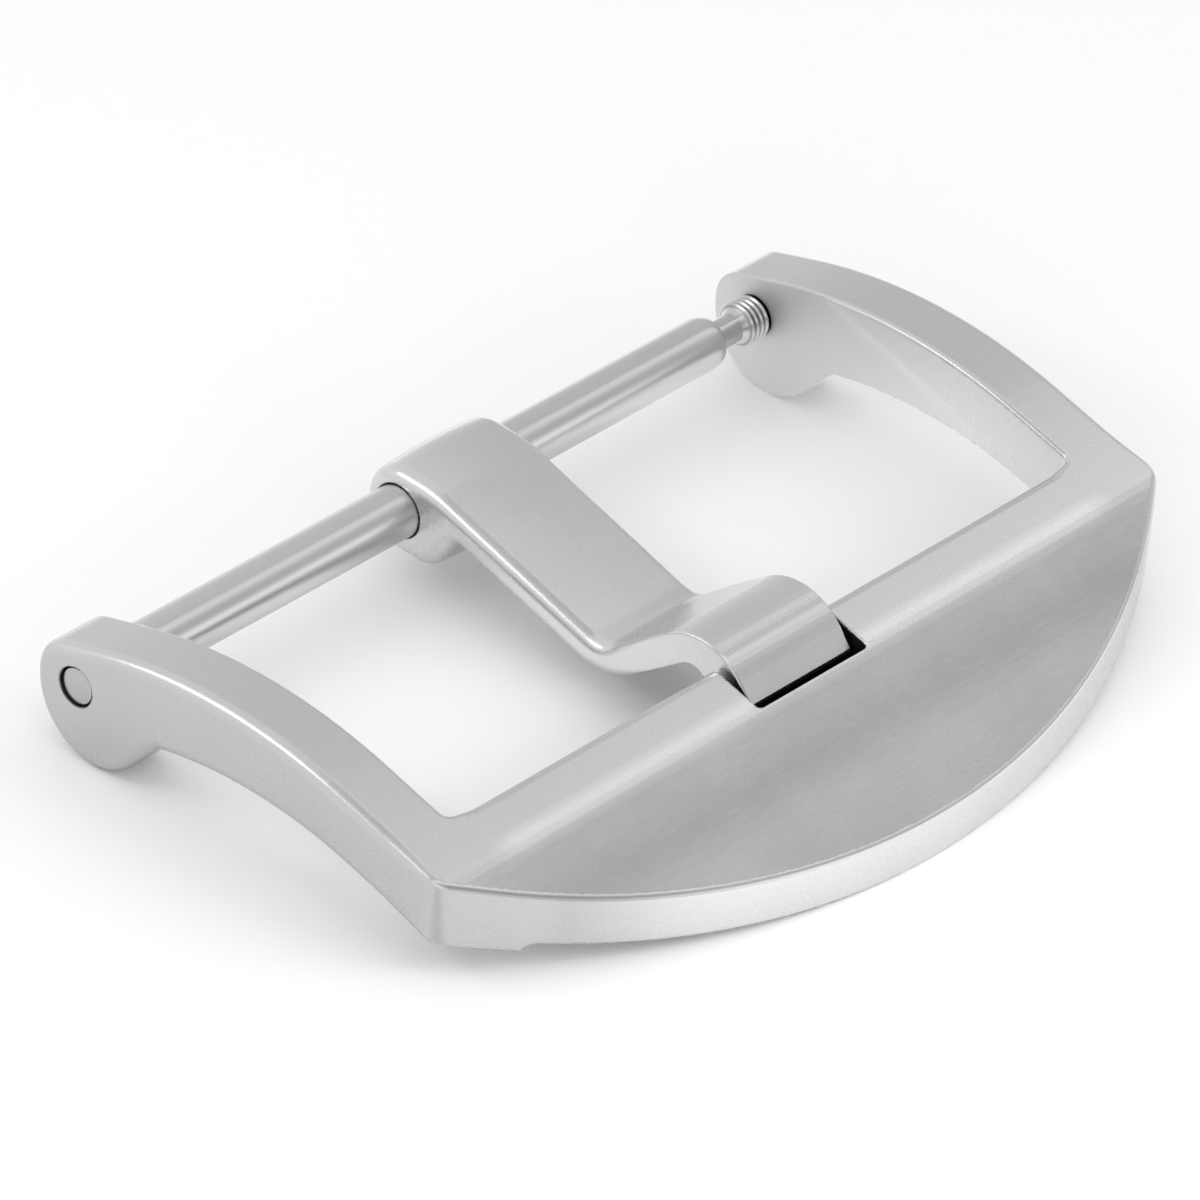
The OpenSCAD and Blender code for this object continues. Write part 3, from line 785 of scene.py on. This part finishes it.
class BUCKLE_OT_tongue(Operator):
    """Build the humped tongue with its eye round the bar"""

    bl_idname = "buckle.tongue"
    bl_label = "Buckle Tongue"

    def execute(self, context):
        s, t = context.scene.buckle_frame, context.scene.buckle_tongue
        side = rounded(tongue_corners(s, t))

        def field(x, f, w):
            # the long edges sharpen from the dip on, and the crown ends there
            edge = t.edge + (t.tip_edge - t.edge) * ease((f - 7.0) / 2)
            crowned = outline_distance(side, f, w) + t.crown * (x / t.half_w) ** 2 * ease((8.5 - f) / 2)
            body = common(crowned, np.abs(x) - t.half_w, edge)
            return common(body, t.eye_bore - np.hypot(f, w), t.bore_edge)

        eye_r = t.eye_bore + t.eye_wall
        low = (-t.half_w - 0.15, -eye_r - 0.15, -2.0)
        high = (t.half_w + 0.15, s.window_fwd + s.notch_len, 2.0)
        piece = skin("buckle_tongue", field, low, high, t.detail)
        look = context.scene.buckle_finish
        tip = s.window_fwd + s.notch_len - t.tip_gap

        def tip_painted_shade(finish, x, f, w):
            """Painted shade on the tip's front face, below its top corner."""
            top = under_at(s, tip) + 1.25
            return finish.range(f, tip - 0.06, tip - 0.01, 0.0, 1.0) * finish.range(w, top, top - 0.05, 0.0, 1.0)

        steel = steel_finish("Tongue steel", look.tongue, look.steel_rough, 1.0, (9.0, 2.0, 9.0), 1.0, tip_painted_shade)
        dress(piece, steel, "tongue_steel", "tongue_body", "tongue")
        return {"FINISHED"}


class BUCKLE_OT_bar(Operator):
    """Build the strap bar's tube and finish the spring inside it"""

    bl_idname = "buckle.bar"
    bl_label = "Strap Bar"

    def execute(self, context):
        b = context.scene.buckle_bar

        def tube_end(reach, spun_len, end_r, mouth):
            """Outline from the tube's straight part over its spun end and back along the bore to the middle."""
            spun = reach - spun_len
            path = [(spun, b.tube_r)]
            for k in range(1, 9):
                a = math.pi / 2 * k / 8
                path.append((spun + spun_len * math.sin(a) * 0.96, end_r + (b.tube_r - end_r) * math.cos(a)))
            return path + [(reach, end_r - 0.02), *mouth, (0, bore_r)]

        bore_r = b.tube_r - b.tube_wall
        left_end = b.tube_half + b.left_more
        mouth = [(b.tube_half, b.mouth_r), (b.tube_half - b.spun_len, bore_r)]
        right = tube_end(b.tube_half, b.spun_len, b.spun_r, mouth)
        # the left end is a cup that takes the pin's rings when the pin is pushed in
        cup = [(left_end, b.cup_r), (b.tube_half, b.cup_r), (b.tube_half - 0.05, bore_r)]
        left = tube_end(left_end, 0.08, b.cup_r + 0.03, cup)
        profile = [(-x, r) for x, r in left[::-1]] + right
        profile.append(profile[0])
        piece = lathe("strap_bar_tube", profile, b.steps)
        look = context.scene.buckle_finish
        steel = steel_finish("Bar steel", look.bar, look.bar_rough, 0.8, (1.2, 12.0, 12.0), 0.6)
        dress(piece, steel, "bar_steel", "bar_body", "bar_tube")
        wire = steel_finish("Spring wire", look.wire, 0.35, 0.5, (3.0, 3.0, 3.0), 0.2)
        spring = frame["nodes"]["bar_spring"]
        spring.data.materials.clear()
        spring.data.materials.append(wire)
        return {"FINISHED"}


class BUCKLE_OT_pins(Operator):
    """Build the two turned pins at the ends of the strap bar"""

    bl_idname = "buckle.pins"
    bl_label = "Bar Pins"

    def execute(self, context):
        s, b = context.scene.buckle_frame, context.scene.buckle_bar
        face = s.half_in - 0.02
        first = face - b.rings * b.ring_step
        profile = [(b.head_in, 0.0), (b.head_in, b.head_r), (b.head_out, b.head_r), (b.head_out, b.neck_r),
                   (first - b.cone_len, b.neck_r)]
        # each ring is a round bead with a groove behind it
        for i in range(b.rings):
            at = first + i * b.ring_step
            profile.append((at, b.ring_r - b.groove))
            profile += [(at + b.ring_step * (0.3 + 0.1 * k), b.ring_r - (0.02 if k in (0, 4) else 0))
                        for k in range(5)]
        profile += [(face, b.ring_r - b.groove), (face, b.tip_r)]
        dome_r = (b.tip_r**2 + b.dome_h**2) / (2 * b.dome_h)
        sweep = math.asin(b.tip_r / dome_r)
        for k in range(11):
            a = sweep * (1 - k / 10)
            profile.append((b.tip_end - dome_r + dome_r * math.cos(a), dome_r * math.sin(a)))
        look = context.scene.buckle_finish

        def groove_painted_shade(finish, x, f, w):
            """Painted shade in the grooves between the rings."""
            out = (f * f + w * w) ** 0.5
            deep = finish.range(out, b.ring_r - 0.6 * b.groove, b.ring_r - 0.2 * b.groove, 0.45, 0.0)
            begun = finish.range(x, first - 0.02, first + 0.02, 0.0, 1.0)
            return deep * begun * finish.range(x, face, face + 0.02, 1.0, 0.0)

        steel = steel_finish("Pin steel", look.pin, 0.24, 0.6, (4.0, 10.0, 10.0), 0.4, groove_painted_shade)
        for name, side in (("pin_left", -1), ("pin_right", 1)):
            piece = lathe("turned_" + name, profile, b.steps, side)
            dress(piece, steel, "pin_steel", name + "_body", name)
        return {"FINISHED"}


class BUCKLE_OT_studio(Operator):
    """Set up the floor, the lamps, the world and the camera"""

    bl_idname = "buckle.studio"
    bl_label = "Studio"

    def execute(self, context):
        scene = context.scene
        studio = scene.buckle_studio
        scene.view_settings.view_transform = "Standard"
        reach = 1.5  # metres
        corners = [(-reach, -reach, 0), (reach, -reach, 0), (reach, reach, 0), (-reach, reach, 0)]
        floor = mesh_piece("studio_floor", corners, [(0, 1, 2, 3)])
        floor.data.materials.append(floor_paper(studio))
        scene.world = studio_sky(studio)
        for lamp in LAMPS:
            hang_lamp(scene, *lamp)
        place_camera(scene, studio.lens)
        return {"FINISHED"}


class BUCKLE_PT_panel(Panel):
    """Lists the buckle's pieces and their sizes"""

    bl_idname = "BUCKLE_PT_panel"
    bl_label = "Watch Tang Buckle"
    bl_space_type = "VIEW_3D"
    bl_region_type = "UI"
    bl_category = "Buckle"

    def draw(self, context):
        for operator in OPERATORS:
            self.layout.operator(operator.bl_idname)
        for name in GROUPS:
            group = getattr(context.scene, name)
            box = self.layout.box()
            for key in group.__annotations__:
                box.prop(group, key)


GROUPS = {
    "buckle_frame": BuckleFrameSizes,
    "buckle_tongue": BuckleTongueSizes,
    "buckle_bar": BuckleBarSizes,
    "buckle_finish": BuckleFinish,
    "buckle_studio": BuckleStudio,
}
OPERATORS = [BUCKLE_OT_studio, BUCKLE_OT_frame, BUCKLE_OT_tongue, BUCKLE_OT_bar, BUCKLE_OT_pins]


def register():
    for group in GROUPS.values():
        bpy.utils.register_class(group)
    for name, group in GROUPS.items():
        setattr(bpy.types.Scene, name, PointerProperty(type=group))
    for operator in OPERATORS:
        bpy.utils.register_class(operator)
    bpy.utils.register_class(BUCKLE_PT_panel)


def unregister():
    bpy.utils.unregister_class(BUCKLE_PT_panel)
    for operator in reversed(OPERATORS):
        bpy.utils.unregister_class(operator)
    for name, group in reversed(GROUPS.items()):
        delattr(bpy.types.Scene, name)
        bpy.utils.unregister_class(group)


def main():
    register()
    bpy.ops.buckle.studio()
    bpy.ops.buckle.frame()
    bpy.ops.buckle.tongue()
    bpy.ops.buckle.bar()
    bpy.ops.buckle.pins()


if __name__ == "__main__":
    main()
